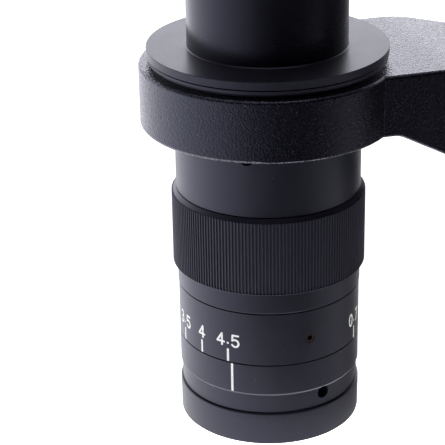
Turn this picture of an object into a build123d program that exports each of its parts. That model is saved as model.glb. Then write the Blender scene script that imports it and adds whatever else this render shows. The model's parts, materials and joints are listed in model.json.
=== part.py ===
"""Zoom inspection lens hanging in the ring arm of a rack-and-pinion focus mount.

Millimetres, +Z up.  The lens axis is Z and z = 0 is the front rim of the nose.
The arm runs along +X to the focus block, which clamps on a vertical pillar.
Angles are measured about Z from +X, as seen from above.
"""
import os
from math import atan2, cos, pi, radians, sin, sqrt, tan

from build123d import *

# ---------------------------------------------------------------- lens barrel
NOSE_R = 23.3
NOSE_LIP_R = 23.53
NOSE_LIP_Z = 7.0
NOSE_TOP = 8.95
NOSE_THREAD_R = 20.6          # minor radius of the M42 x 0.75 accessory thread
NOSE_THREAD_DEPTH = 4.5
SPIGOT_R = 21.2               # index barrel's spigot in the back of the nose ring
PRESS_GAP = 0.02              # between pieces that are pressed or screwed together

NECK_BOTTOM = 9.1
NECK_TOP = 14.1
NECK_R = 23.0
INDEX_R = 23.4
INDEX_CHAMFER = 0.35
INDEX_TOP = 22.7

SCALE_BOTTOM = 22.88
SCALE_TOP = 37.28
SCALE_R = 23.42

BAND_BOTTOM = 37.46
BAND_R = 23.56
KNURL_BOTTOM = 43.13
KNURL_TOP = 62.45
KNURL_R = 24.75
KNURL_DEPTH = 0.3
KNURL_RIM = 0.35
KNURL_RIBS = 180
RIB_SHARE = 0.58              # share of each pitch that is rib at the tip
ZOOM_TOP = 63.4

BARREL_R = 23.52
BARREL_BOTTOM = 63.6
BARREL_TOP = 98.26

# ------------------------------------------------------- ring seat and top end
RING_BOTTOM = 80.93
RING_TOP = 96.5
RING_R = 32.05
RING_BORE_R = 25.0
SEAT_R = 24.95
SEAT_BOTTOM = 82.5
LIP_R = 29.8
LIP_BOTTOM = 97.35
LIP_TOP = 98.26
FLANGE_R = 30.05
FLANGE_BOTTOM = 98.3
FLANGE_TOP = 100.6
TUBE_R = 20.0
TUBE_INNER_R = 18.0
TUBE_BOTTOM = 98.32
TUBE_TOP = 150.0
ADAPTER_R = 15.5
C_MOUNT_R = 12.7
C_MOUNT_BOTTOM = 166.0
C_MOUNT_TOP = 170.0
C_MOUNT_BORE_R = 10.5

# ------------------------------------------------------------- zoom mechanism
ZOOM_TURN = 270.0
GUIDE_IN_R = 16.6
GUIDE_OUT_R = 17.8
GUIDE_BOTTOM = 16.6
GUIDE_TOP = 80.0
CAM_IN_R = 17.88
CAM_OUT_R = 19.2
CAM_BOTTOM = 25.5
CAM_TOP = 74.0
SLEEVE_IN_R = 19.28
SLEEVE_OUT_R = 21.3
CELL_R = 16.54
CELL_BORE_R = 11.5
CELL_LENGTH = 8.0
PIN_R = 1.0
PIN_ANGLES = (0.0, 180.0)
SLOT_WIDTH = 2.2
SLOT_OVERRUN = 7.0            # degrees of slot beyond each end of the travel
VARIATOR_Z = 31.0
VARIATOR_TRAVEL = 18.0
COMPENSATOR_Z = 69.0
COMPENSATOR_TRAVEL = -8.0
STOP_ANGLE = 90.0
STOP_CIRCLE_R = 20.3
STOP_PIN_R = 0.7
STOP_PIN_LENGTH = 4.0
STOP_GROOVE_DEPTH = 2.2

# -------------------------------------------------------------- radial screws
SCALE_SCREW_R = 1.3
SCALE_SCREW_Z = 29.5
SCALE_SCREW_ANGLE = -81.8
NECK_HOLE_R = 1.6
NECK_HOLE_Z = 12.4
NECK_HOLE_ANGLE = -71.2
NECK_HOLE_DEPTH = 5.0
NECK_SCREW_FACE_R = 21.25
BARREL_HOLE_R = 1.5
BARREL_HOLE_Z = 78.85
BARREL_HOLE_ANGLE = -120.8
BARREL_HOLE_DEPTH = 4.3
BARREL_SCREW_FACE_R = 22.0
DRIVE_SCREW_Z = 40.5
DRIVE_SCREW_R = 1.0
DRIVE_SCREW_ANGLE = SCALE_SCREW_ANGLE + 60
DRIVE_SCREW_MIDDLE_R = 20.7
DRIVE_SCREW_LENGTH = 5.4
DRIVE_HOLE_LENGTH = 6.6
ADAPTER_SCREW_Z = 147.8

# -------------------------------------------------------------- arm and slide
ARM_HALF_WIDTH = 23.3
ARM_CREASE_X = 43.0
ARM_TOP_SLOPE = 13.4
ARM_HEEL_X = 26.2
ARM_UNDER_SLOPE = 27.7
CARRIAGE_FRONT = 64.0
CARRIAGE_BACK = 78.0
CARRIAGE_BOTTOM = 40.0
RAIL_TIP_X = 70.2
RAIL_ROOT_X = 78.3
RAIL_TIP_HALF = 14.5
RAIL_ROOT_HALF = 10.0
RAIL_GROOVE_HALF = 5.0
RAIL_GAP = 0.06
GIB_THICKNESS = 1.74
CHANNEL_FLOOR_X = 70.0
GIB_SCREW_X = 74.0
GIB_SCREW_R = 2.0
GIB_SCREW_HEIGHTS = (48.0, 64.0, 80.0)
RACK_SCREW_R = 1.25
RACK_SCREW_HEIGHTS = (43.2, 85.3)

# ------------------------------------------------------- focus block and drive
BLOCK_BOTTOM = 42.0
BLOCK_TOP = 90.0
BLOCK_HALF_WIDTH = 23.3
PILLAR_X = 112.7
PILLAR_BORE_R = 12.55
FOCUS_Z = 66.0
GEAR_MODULE = 1.0
PINION_TEETH = 18
PINION_PITCH_R = GEAR_MODULE * PINION_TEETH / 2
PINION_X = 85.5
PINION_HALF_WIDTH = 3.6
RACK_HALF_WIDTH = 4.0
RACK_PITCH_X = PINION_X - PINION_PITCH_R
RACK_BOTTOM = 41.0
RACK_TOP = 87.5
ADDENDUM = 0.9
DEDENDUM = 1.15
BACKLASH = 0.1                # taken off each side of a tooth
SHAFT_R = 4.0
BUSH_R = 6.0
BUSH_FLANGE_R = 8.5
KNOB_R = 20.0
KNOB_START = 25.6
KNOB_END = 44.0
KNOB_FLUTES = 60
KNOB_BORE_R = SHAFT_R + PRESS_GAP

CLAMP_Z = (RING_BOTTOM + RING_TOP) / 2
CLAMP_STUD_R = 2.5
CLAMP_HEAD_R = 8.5
CLAMP_HEAD_START = 35.0
CLAMP_HEAD_END = 47.0
PILLAR_STUD_R = 4.0
PILLAR_KNOB_R = 15.0
PILLAR_KNOB_START = 140.0
PILLAR_KNOB_END = 156.0
RUNNING_GAP = 0.05


def save(part, label):
    """Label a finished piece and write its STEP file."""
    part.label = label
    export_step(part, f"parts/{label}.step")


def turned(*points):
    """Solid of revolution about Z from (radius, height) points."""
    with BuildPart() as piece:
        with BuildSketch(Plane.XZ):
            Polygon(*points, align=None)
        revolve(axis=Axis.Z)
    return piece.part


def set_screw(radius, length, socket):
    """Socket set screw along X: its socket end at x = 0, its point towards -X."""
    with BuildPart() as screw:
        with BuildSketch(Plane.YZ):
            Circle(radius)
        extrude(amount=-length)
        chamfer(screw.edges().filter_by(GeomType.CIRCLE), radius * 0.12)
        with BuildSketch(Plane.YZ):
            RegularPolygon(socket / 2, 6, major_radius=False)
        extrude(amount=-socket, mode=Mode.SUBTRACT)
    return screw.part


def crowned_glass(radius, edge, sag_low, sag_high, middle):
    """Round lens element with a cylindrical edge and two spherical faces."""
    low = middle - edge / 2
    high = middle + edge / 2
    with BuildPart() as glass:
        with BuildSketch(Plane.XZ):
            with BuildLine():
                Line((0, low - sag_low), (0, high + sag_high))
                TangentArc((0, high + sag_high), (radius, high), tangent=(1, 0))
                Line((radius, high), (radius, low))
                TangentArc((0, low - sag_low), (radius, low), tangent=(1, 0))
            make_face()
        revolve(axis=Axis.Z)
    return glass.part


def ribbed_points(tip, root, count, share):
    """Corner points of a circle cut by square-sided grooves."""
    pitch = 2 * pi / count
    points = []
    for rib in range(count):
        start = rib * pitch
        end = start + share * pitch
        for radius, angle in ((root, start), (tip, start), (tip, end), (root, end)):
            points.append((radius * cos(angle), radius * sin(angle)))
    return points


def rail_half(x, shift=0.0):
    """Half width of the dovetail at x, moved outwards by shift."""
    share = (RAIL_ROOT_X - x) / (RAIL_ROOT_X - RAIL_TIP_X)
    return RAIL_ROOT_HALF + share * (RAIL_TIP_HALF - RAIL_ROOT_HALF) + shift


os.makedirs("parts", exist_ok=True)

# =============================================================== front of lens
with BuildPart() as nose_ring:
    with BuildSketch(Plane.XZ):
        Polygon(
            (NOSE_THREAD_R, 0), (NOSE_R - 0.4, 0), (NOSE_R, 0.4),
            (NOSE_R, NOSE_LIP_Z), (NOSE_LIP_R, NOSE_LIP_Z + 0.25),
            (NOSE_LIP_R, NOSE_TOP - 0.3), (NOSE_LIP_R - 0.3, NOSE_TOP),
            (SPIGOT_R + PRESS_GAP, NOSE_TOP), (SPIGOT_R + PRESS_GAP, NOSE_THREAD_DEPTH),
            (NOSE_THREAD_R, NOSE_THREAD_DEPTH), align=None)
    revolve(axis=Axis.Z)
save(nose_ring.part, "nose_ring")

FRONT_CELL_R = 18.95
SPIGOT_BOTTOM = NOSE_THREAD_DEPTH + PRESS_GAP
with BuildPart() as index_barrel:
    with BuildSketch(Plane.XZ):
        Polygon(
            (FRONT_CELL_R + PRESS_GAP, SPIGOT_BOTTOM), (SPIGOT_R, SPIGOT_BOTTOM),
            (SPIGOT_R, NECK_BOTTOM), (NECK_R, NECK_BOTTOM), (NECK_R, NECK_TOP),
            (INDEX_R - INDEX_CHAMFER, NECK_TOP), (INDEX_R, NECK_TOP + INDEX_CHAMFER),
            (INDEX_R, INDEX_TOP), (GUIDE_OUT_R + PRESS_GAP, INDEX_TOP),
            (GUIDE_OUT_R + PRESS_GAP, GUIDE_BOTTOM), (FRONT_CELL_R + PRESS_GAP, GUIDE_BOTTOM),
            align=None)
    revolve(axis=Axis.Z)
    with Locations((0, 0, NECK_HOLE_Z)), PolarLocations(NECK_R, 2, NECK_HOLE_ANGLE):
        Cylinder(NECK_HOLE_R, 2 * NECK_HOLE_DEPTH, rotation=(0, 90, 0), mode=Mode.SUBTRACT)
    with Locations((0, 0, INDEX_TOP - 1)), PolarLocations(STOP_CIRCLE_R, 1, STOP_ANGLE):
        Cylinder(STOP_PIN_R, STOP_PIN_LENGTH, mode=Mode.SUBTRACT)
save(index_barrel.part, "index_barrel")

neck_screw = set_screw(NECK_HOLE_R, 2.2, 1.5)
with BuildPart() as neck_screws:
    with Locations((0, 0, NECK_HOLE_Z)), PolarLocations(NECK_SCREW_FACE_R, 2, NECK_HOLE_ANGLE):
        add(neck_screw)
save(neck_screws.part, "neck_screws")

with BuildPart() as stop_pin:
    with Locations((0, 0, INDEX_TOP - 1)), PolarLocations(STOP_CIRCLE_R, 1, STOP_ANGLE):
        Cylinder(STOP_PIN_R, STOP_PIN_LENGTH)
save(stop_pin.part, "zoom_stop_pin")

FRONT_GLASS_R = 16.2
FRONT_GLASS_Z = 9.6
FRONT_GLASS_EDGE = 3.6
CELL_FRONT_Z = 5.2
CELL_BACK_Z = 16.5
CELL_THREAD_R = 16.6
CELL_THREAD_TOP = 7.6
CELL_SEAT_Z = 11.7
CELL_THROAT_R = 14.0
front_cell = turned(
    (CELL_THREAD_R, CELL_FRONT_Z), (FRONT_CELL_R, CELL_FRONT_Z), (FRONT_CELL_R, CELL_BACK_Z),
    (CELL_THROAT_R, CELL_BACK_Z), (CELL_THROAT_R, CELL_SEAT_Z),
    (FRONT_GLASS_R + PRESS_GAP, CELL_SEAT_Z), (FRONT_GLASS_R + PRESS_GAP, CELL_THREAD_TOP),
    (CELL_THREAD_R, CELL_THREAD_TOP))
save(front_cell, "front_lens_cell")
save(crowned_glass(FRONT_GLASS_R, FRONT_GLASS_EDGE, 1.6, 0.8, FRONT_GLASS_Z), "front_lens")

RETAINER_R = CELL_THREAD_R - PRESS_GAP
RETAINER_BORE_R = 14.9
RETAINER_LOW = CELL_FRONT_Z + 0.4
RETAINER_HIGH = CELL_THREAD_TOP - 0.1
RETAINER_BEVEL = 0.5
front_retainer = turned(
    (RETAINER_BORE_R, RETAINER_LOW), (RETAINER_R, RETAINER_LOW), (RETAINER_R, RETAINER_HIGH),
    (RETAINER_BORE_R + RETAINER_BEVEL, RETAINER_HIGH),
    (RETAINER_BORE_R, RETAINER_HIGH - RETAINER_BEVEL))
save(front_retainer, "front_retaining_ring")

# ============================================================= zoom control ring
scale_screw = set_screw(SCALE_SCREW_R, 2.0, 1.3)
with BuildPart() as scale_ring:
    with BuildSketch(Plane.XY.offset(SCALE_BOTTOM)):
        Circle(SCALE_R)
        Circle(SLEEVE_OUT_R + PRESS_GAP, mode=Mode.SUBTRACT)
    extrude(amount=SCALE_TOP - SCALE_BOTTOM)
    with Locations((0, 0, SCALE_SCREW_Z)), PolarLocations(SCALE_R, 3, SCALE_SCREW_ANGLE):
        Cylinder(SCALE_SCREW_R, 6, rotation=(0, 90, 0), mode=Mode.SUBTRACT)
save(scale_ring.part, "scale_ring")

with BuildPart() as scale_screws:
    with Locations((0, 0, SCALE_SCREW_Z)):
        with PolarLocations(SCALE_R - 0.12, 3, SCALE_SCREW_ANGLE):
            add(scale_screw)
save(scale_screws.part, "scale_ring_screws")

KNURL_ROOT_R = KNURL_R - KNURL_DEPTH
RING_BORE_IN_R = SLEEVE_OUT_R + PRESS_GAP
with BuildPart() as zoom_ring:
    with BuildSketch(Plane.XZ):
        Polygon(
            (RING_BORE_IN_R, BAND_BOTTOM), (BAND_R - 0.15, BAND_BOTTOM),
            (BAND_R, BAND_BOTTOM + 0.15), (BAND_R, KNURL_BOTTOM), (KNURL_R, KNURL_BOTTOM),
            (KNURL_R, KNURL_BOTTOM + KNURL_RIM), (KNURL_ROOT_R, KNURL_BOTTOM + KNURL_RIM),
            (KNURL_ROOT_R, KNURL_TOP), (BARREL_R, ZOOM_TOP), (RING_BORE_IN_R, ZOOM_TOP),
            align=None)
    revolve(axis=Axis.Z)
    with BuildSketch(Plane.XY.offset(KNURL_BOTTOM + KNURL_RIM)):
        Polygon(*ribbed_points(KNURL_R, KNURL_ROOT_R - 0.05, KNURL_RIBS, RIB_SHARE), align=None)
        Circle(KNURL_ROOT_R - 1, mode=Mode.SUBTRACT)
    extrude(amount=KNURL_TOP - KNURL_BOTTOM - KNURL_RIM)
    with Locations((0, 0, DRIVE_SCREW_Z)), PolarLocations(DRIVE_SCREW_MIDDLE_R, 2, DRIVE_SCREW_ANGLE):
        Cylinder(DRIVE_SCREW_R, DRIVE_HOLE_LENGTH, rotation=(0, 90, 0), mode=Mode.SUBTRACT)
save(zoom_ring.part, "zoom_ring")

with BuildPart() as zoom_sleeve:
    with BuildSketch(Plane.XY.offset(SCALE_BOTTOM + 0.1)):
        Circle(SLEEVE_OUT_R)
        Circle(SLEEVE_IN_R, mode=Mode.SUBTRACT)
    extrude(amount=ZOOM_TOP - SCALE_BOTTOM - 0.1)
    with BuildSketch(Plane.XY.offset(SCALE_BOTTOM)):
        with BuildLine():
            stop_arc = CenterArc((0, 0), STOP_CIRCLE_R, STOP_ANGLE - ZOOM_TURN, ZOOM_TURN)
        SlotArc(stop_arc, 2 * (STOP_PIN_R + 0.1))
    extrude(amount=STOP_GROOVE_DEPTH, mode=Mode.SUBTRACT)
    with Locations((0, 0, DRIVE_SCREW_Z)), PolarLocations(DRIVE_SCREW_MIDDLE_R, 2, DRIVE_SCREW_ANGLE):
        Cylinder(DRIVE_SCREW_R, DRIVE_HOLE_LENGTH, rotation=(0, 90, 0), mode=Mode.SUBTRACT)
save(zoom_sleeve.part, "zoom_sleeve")

with BuildPart() as drive_screws:
    with Locations((0, 0, DRIVE_SCREW_Z)), PolarLocations(DRIVE_SCREW_MIDDLE_R, 2, DRIVE_SCREW_ANGLE):
        Cylinder(DRIVE_SCREW_R, DRIVE_SCREW_LENGTH, rotation=(0, 90, 0))
save(drive_screws.part, "cam_drive_screws")


def cam_slot(travel):
    """Helical slot of one travel, starting on +X at z = 0 and rising."""
    per_degree = abs(travel) / ZOOM_TURN
    height = per_degree * (ZOOM_TURN + 2 * SLOT_OVERRUN)
    with BuildPart() as slot:
        with BuildLine() as path:
            Helix(per_degree * 360, height, (CAM_IN_R + CAM_OUT_R) / 2, lefthand=travel > 0)
        with BuildSketch(Plane(origin=path.line @ 0, x_dir=(1, 0, 0), z_dir=path.line % 0)):
            Rectangle(3.0, SLOT_WIDTH)
        sweep(path=path.line, is_frenet=True)
    return slot.part


with BuildPart() as cam_tube:
    with BuildSketch(Plane.XY.offset(CAM_BOTTOM)):
        Circle(CAM_OUT_R)
        Circle(CAM_IN_R, mode=Mode.SUBTRACT)
    extrude(amount=CAM_TOP - CAM_BOTTOM)
    for z_rest, travel in ((VARIATOR_Z, VARIATOR_TRAVEL), (COMPENSATOR_Z, COMPENSATOR_TRAVEL)):
        slot = cam_slot(travel)
        low = min(z_rest, z_rest + travel) - abs(travel) * SLOT_OVERRUN / ZOOM_TURN
        turn = SLOT_OVERRUN if travel > 0 else -ZOOM_TURN - SLOT_OVERRUN
        for pin_angle in PIN_ANGLES:
            with Locations(Location((0, 0, low), (0, 0, pin_angle + turn))):
                add(slot, mode=Mode.SUBTRACT)
    with Locations((0, 0, DRIVE_SCREW_Z)), PolarLocations(DRIVE_SCREW_MIDDLE_R, 2, DRIVE_SCREW_ANGLE):
        Cylinder(DRIVE_SCREW_R, DRIVE_HOLE_LENGTH, rotation=(0, 90, 0), mode=Mode.SUBTRACT)
save(cam_tube.part, "cam_tube")

with BuildPart() as guide_tube:
    with BuildSketch(Plane.XY.offset(GUIDE_BOTTOM)):
        Circle(GUIDE_OUT_R)
        Circle(GUIDE_IN_R, mode=Mode.SUBTRACT)
    extrude(amount=GUIDE_TOP - GUIDE_BOTTOM)
    with BuildSketch(Plane.YZ):
        for z_start, travel in ((VARIATOR_Z, VARIATOR_TRAVEL), (COMPENSATOR_Z, COMPENSATOR_TRAVEL)):
            with Locations((0, z_start + travel / 2)):
                SlotOverall(abs(travel) + SLOT_WIDTH + 0.6, SLOT_WIDTH, rotation=90)
    extrude(amount=GUIDE_OUT_R + 1, both=True, mode=Mode.SUBTRACT)
save(guide_tube.part, "guide_tube")

PIN_INNER_R = 14.0
PIN_OUTER_R = CAM_OUT_R - 0.15
for group, middle, sag_low, sag_high in (
        ("variator", VARIATOR_Z, -0.7, 1.2), ("compensator", COMPENSATOR_Z, 1.4, 0.6)):
    with BuildPart() as cell:
        with BuildSketch(Plane.XY.offset(middle - CELL_LENGTH / 2)):
            Circle(CELL_R)
            Circle(CELL_BORE_R, mode=Mode.SUBTRACT)
        extrude(amount=CELL_LENGTH)
        for angle in PIN_ANGLES:
            with Locations((0, 0, middle)), PolarLocations(CELL_R, 1, angle):
                Cylinder(PIN_R, 2 * (CELL_R - PIN_INNER_R), rotation=(0, 90, 0),
                         mode=Mode.SUBTRACT)
    save(cell.part, f"{group}_cell")
    save(crowned_glass(CELL_BORE_R, 3.0, sag_low, sag_high, middle), f"{group}_lens")
    with BuildPart() as pins:
        for angle in PIN_ANGLES:
            with Locations((0, 0, middle)):
                with PolarLocations((PIN_INNER_R + PIN_OUTER_R) / 2, 1, angle):
                    Cylinder(PIN_R, PIN_OUTER_R - PIN_INNER_R, rotation=(0, 90, 0))
    save(pins.part, f"{group}_cam_pins")

# ======================================================== barrel, seat and flange
with BuildPart() as main_barrel:
    with BuildSketch(Plane.XZ):
        Polygon(
            (SLEEVE_IN_R, BARREL_BOTTOM), (BARREL_R, BARREL_BOTTOM), (BARREL_R, BARREL_TOP),
            (TUBE_INNER_R, BARREL_TOP), (TUBE_INNER_R, GUIDE_TOP + PRESS_GAP),
            (GUIDE_OUT_R + PRESS_GAP, GUIDE_TOP + PRESS_GAP), (GUIDE_OUT_R + PRESS_GAP, CAM_TOP + 0.2),
            (SLEEVE_IN_R, CAM_TOP + 0.2), align=None)
    revolve(axis=Axis.Z)
    with Locations((0, 0, BARREL_HOLE_Z)), PolarLocations(BARREL_R, 3, BARREL_HOLE_ANGLE):
        Cylinder(BARREL_HOLE_R, 2 * BARREL_HOLE_DEPTH, rotation=(0, 90, 0), mode=Mode.SUBTRACT)
save(main_barrel.part, "main_barrel")

barrel_screw = set_screw(BARREL_HOLE_R, 2.5, 1.5)
with BuildPart() as barrel_screws:
    with Locations((0, 0, BARREL_HOLE_Z)), PolarLocations(BARREL_SCREW_FACE_R, 3, BARREL_HOLE_ANGLE):
        add(barrel_screw)
save(barrel_screws.part, "barrel_screws")

seat_collar = turned(
    (BARREL_R + PRESS_GAP, SEAT_BOTTOM), (SEAT_R - 0.4, SEAT_BOTTOM), (SEAT_R, SEAT_BOTTOM + 0.4),
    (SEAT_R, RING_TOP - 0.3), (SEAT_R - 0.3, RING_TOP), (BARREL_R + PRESS_GAP, RING_TOP))
save(seat_collar, "seat_collar")

WASHER_EDGE = 0.1
WASHER_FOOT_R = 28.8
seat_washer = turned(
    (BARREL_R + PRESS_GAP, RING_TOP + PRESS_GAP), (WASHER_FOOT_R, RING_TOP + PRESS_GAP),
    (WASHER_FOOT_R, LIP_BOTTOM), (LIP_R - WASHER_EDGE, LIP_BOTTOM),
    (LIP_R, LIP_BOTTOM + WASHER_EDGE), (LIP_R, LIP_TOP - WASHER_EDGE),
    (LIP_R - WASHER_EDGE, LIP_TOP), (BARREL_R + PRESS_GAP, LIP_TOP))
save(seat_washer, "seat_washer")

top_flange = turned(
    (TUBE_R + PRESS_GAP, FLANGE_BOTTOM), (FLANGE_R - 0.2, FLANGE_BOTTOM),
    (FLANGE_R, FLANGE_BOTTOM + 0.2), (FLANGE_R, FLANGE_TOP - 0.25),
    (FLANGE_R - 0.25, FLANGE_TOP), (TUBE_R + 0.5, FLANGE_TOP), (TUBE_R + PRESS_GAP, FLANGE_TOP + 0.45))
save(top_flange, "top_flange")

with BuildPart() as upper_tube:
    with BuildSketch(Plane.XY.offset(TUBE_BOTTOM)):
        Circle(TUBE_R)
        Circle(TUBE_INNER_R, mode=Mode.SUBTRACT)
    extrude(amount=TUBE_TOP - TUBE_BOTTOM)
    chamfer(upper_tube.edges().group_by(Axis.Z)[-1], 0.3)
    with Locations((0, 0, ADAPTER_SCREW_Z)), PolarLocations(TUBE_R, 3, BARREL_HOLE_ANGLE):
        Cylinder(BARREL_HOLE_R, 6, rotation=(0, 90, 0), mode=Mode.SUBTRACT)
save(upper_tube.part, "upper_tube")

RELAY_Z = 124.0
RELAY_GLASS_R = 14.0
RELAY_CELL_HALF = 5.0
RELAY_THROAT_R = 12.5
RELAY_THREAD_R = RELAY_GLASS_R + 0.6
RELAY_SEAT_Z = RELAY_Z - 2.0
RELAY_THREAD_Z = RELAY_Z + 2.3
RELAY_CELL_R = TUBE_INNER_R - PRESS_GAP
relay_cell = turned(
    (RELAY_THROAT_R, RELAY_Z - RELAY_CELL_HALF), (RELAY_CELL_R, RELAY_Z - RELAY_CELL_HALF),
    (RELAY_CELL_R, RELAY_Z + RELAY_CELL_HALF), (RELAY_THREAD_R, RELAY_Z + RELAY_CELL_HALF),
    (RELAY_THREAD_R, RELAY_THREAD_Z), (RELAY_GLASS_R + PRESS_GAP, RELAY_THREAD_Z),
    (RELAY_GLASS_R + PRESS_GAP, RELAY_SEAT_Z), (RELAY_THROAT_R, RELAY_SEAT_Z))
save(relay_cell, "relay_lens_cell")
save(crowned_glass(RELAY_GLASS_R, 3.2, 0.4, 1.2, RELAY_Z), "relay_lens")
RELAY_RETAINER_BORE_R = 12.6
RELAY_RETAINER_LOW = RELAY_Z + 3.0
RELAY_RETAINER_HIGH = RELAY_Z + 4.6
relay_retainer = turned(
    (RELAY_RETAINER_BORE_R, RELAY_RETAINER_LOW), (RELAY_THREAD_R - PRESS_GAP, RELAY_RETAINER_LOW),
    (RELAY_THREAD_R - PRESS_GAP, RELAY_RETAINER_HIGH), (RELAY_RETAINER_BORE_R, RELAY_RETAINER_HIGH))
save(relay_retainer, "relay_retaining_ring")

ADAPTER_SPIGOT_BOTTOM = 145.0
ADAPTER_RIM_TOP = 154.0
ADAPTER_NECK_Z = 160.0
with BuildPart() as camera_adapter:
    with BuildSketch(Plane.XZ):
        Polygon(
            (C_MOUNT_BORE_R, ADAPTER_SPIGOT_BOTTOM), (TUBE_INNER_R - PRESS_GAP, ADAPTER_SPIGOT_BOTTOM),
            (TUBE_INNER_R - PRESS_GAP, TUBE_TOP), (TUBE_R - 0.3, TUBE_TOP), (TUBE_R, TUBE_TOP + 0.3),
            (TUBE_R, ADAPTER_RIM_TOP - 0.4), (TUBE_R - 0.4, ADAPTER_RIM_TOP),
            (TUBE_R - 0.9, ADAPTER_RIM_TOP), (ADAPTER_R, ADAPTER_NECK_Z),
            (ADAPTER_R, C_MOUNT_BOTTOM - 0.4), (ADAPTER_R - 0.4, C_MOUNT_BOTTOM),
            (C_MOUNT_R, C_MOUNT_BOTTOM), (C_MOUNT_R, C_MOUNT_TOP), (C_MOUNT_BORE_R, C_MOUNT_TOP),
            align=None)
    revolve(axis=Axis.Z)
save(camera_adapter.part, "camera_adapter")

adapter_screw = set_screw(BARREL_HOLE_R, 2.0, 1.5)
with BuildPart() as adapter_screws:
    with Locations((0, 0, ADAPTER_SCREW_Z)), PolarLocations(TUBE_R, 3, BARREL_HOLE_ANGLE):
        add(adapter_screw)
save(adapter_screws.part, "adapter_screws")

# ====================================================================== ring arm
ARM_TOP_END = RING_TOP - (CARRIAGE_BACK - ARM_CREASE_X) * tan(radians(ARM_TOP_SLOPE))
ARM_UNDER_END = RING_BOTTOM - (CARRIAGE_FRONT - ARM_HEEL_X) * tan(radians(ARM_UNDER_SLOPE))
ARM_EDGE_R = 0.9
RING_EDGE_R = 0.8
CORNER_R = 0.7                # hollow corner where the arm's sides leave the ring
CORNER_X = sqrt((RING_R + CORNER_R) ** 2 - (ARM_HALF_WIDTH + CORNER_R) ** 2)

with BuildPart() as arm_beam:
    with BuildSketch(Plane.XZ):
        with BuildLine():
            FilletPolyline(
                (0, RING_TOP), (ARM_CREASE_X, RING_TOP), (CARRIAGE_BACK, ARM_TOP_END),
                (CARRIAGE_BACK, CARRIAGE_BOTTOM), (CARRIAGE_FRONT, CARRIAGE_BOTTOM),
                (CARRIAGE_FRONT, ARM_UNDER_END), (ARM_HEEL_X, RING_BOTTOM), (0, RING_BOTTOM),
                radius=(40, 2, 1, 3, 14, 6))
            Line((0, RING_BOTTOM), (0, RING_TOP))
        make_face()
    extrude(amount=ARM_HALF_WIDTH, both=True)
    side_edges = arm_beam.edges().filter_by(lambda e: abs(abs(e.center().Y) - ARM_HALF_WIDTH) < 0.01)
    fillet(side_edges.filter_by(lambda e: 0.1 < e.center().X < CARRIAGE_BACK - 0.1), ARM_EDGE_R)

with BuildPart() as ring_arm:
    with BuildSketch(Plane.XY.offset(RING_BOTTOM)):
        Circle(RING_R)
    extrude(amount=RING_TOP - RING_BOTTOM)
    fillet(ring_arm.edges().filter_by(GeomType.CIRCLE), RING_EDGE_R)
    add(arm_beam.part)
    for side in (-1, 1):
        corner_y = side * (ARM_HALF_WIDTH + CORNER_R)
        meets_ring = RING_R / (RING_R + CORNER_R)
        with BuildSketch(Plane.XY.offset(RING_BOTTOM + RING_EDGE_R)):
            Polygon((CORNER_X * meets_ring, corner_y * meets_ring), (CORNER_X, side * ARM_HALF_WIDTH),
                    (CORNER_X - 1, side * (ARM_HALF_WIDTH - 1)), align=None)
            with Locations((CORNER_X, corner_y)):
                Circle(CORNER_R, mode=Mode.SUBTRACT)
        extrude(amount=RING_TOP - RING_BOTTOM - 2 * RING_EDGE_R)
    with BuildSketch(Plane.XY.offset(RING_BOTTOM)):
        Circle(RING_BORE_R)
    extrude(amount=RING_TOP - RING_BOTTOM, mode=Mode.SUBTRACT)
    near_wall = -(RAIL_GAP + GIB_THICKNESS + RAIL_GAP)
    with BuildSketch(Plane.XY.offset(CARRIAGE_BOTTOM)):
        Polygon(
            (CHANNEL_FLOOR_X, rail_half(CHANNEL_FLOOR_X, RAIL_GAP)),
            (CARRIAGE_BACK, rail_half(CARRIAGE_BACK, RAIL_GAP)),
            (CARRIAGE_BACK, near_wall - rail_half(CARRIAGE_BACK)),
            (CHANNEL_FLOOR_X, near_wall - rail_half(CHANNEL_FLOOR_X)), align=None)
    extrude(amount=RING_TOP - CARRIAGE_BOTTOM, mode=Mode.SUBTRACT)
    with Locations((0, RING_R - 4, CLAMP_Z)):
        Cylinder(CLAMP_STUD_R + RUNNING_GAP, 12, rotation=(90, 0, 0), mode=Mode.SUBTRACT)
    for height in GIB_SCREW_HEIGHTS:
        with Locations((GIB_SCREW_X, -ARM_HALF_WIDTH, height)):
            Cylinder(GIB_SCREW_R, 18, rotation=(90, 0, 0), mode=Mode.SUBTRACT)
    for height in RACK_SCREW_HEIGHTS:
        with Locations((CHANNEL_FLOOR_X, 0, height)):
            Cylinder(RACK_SCREW_R, 10, rotation=(0, 90, 0), mode=Mode.SUBTRACT)
save(ring_arm.part, "ring_arm")

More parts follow.
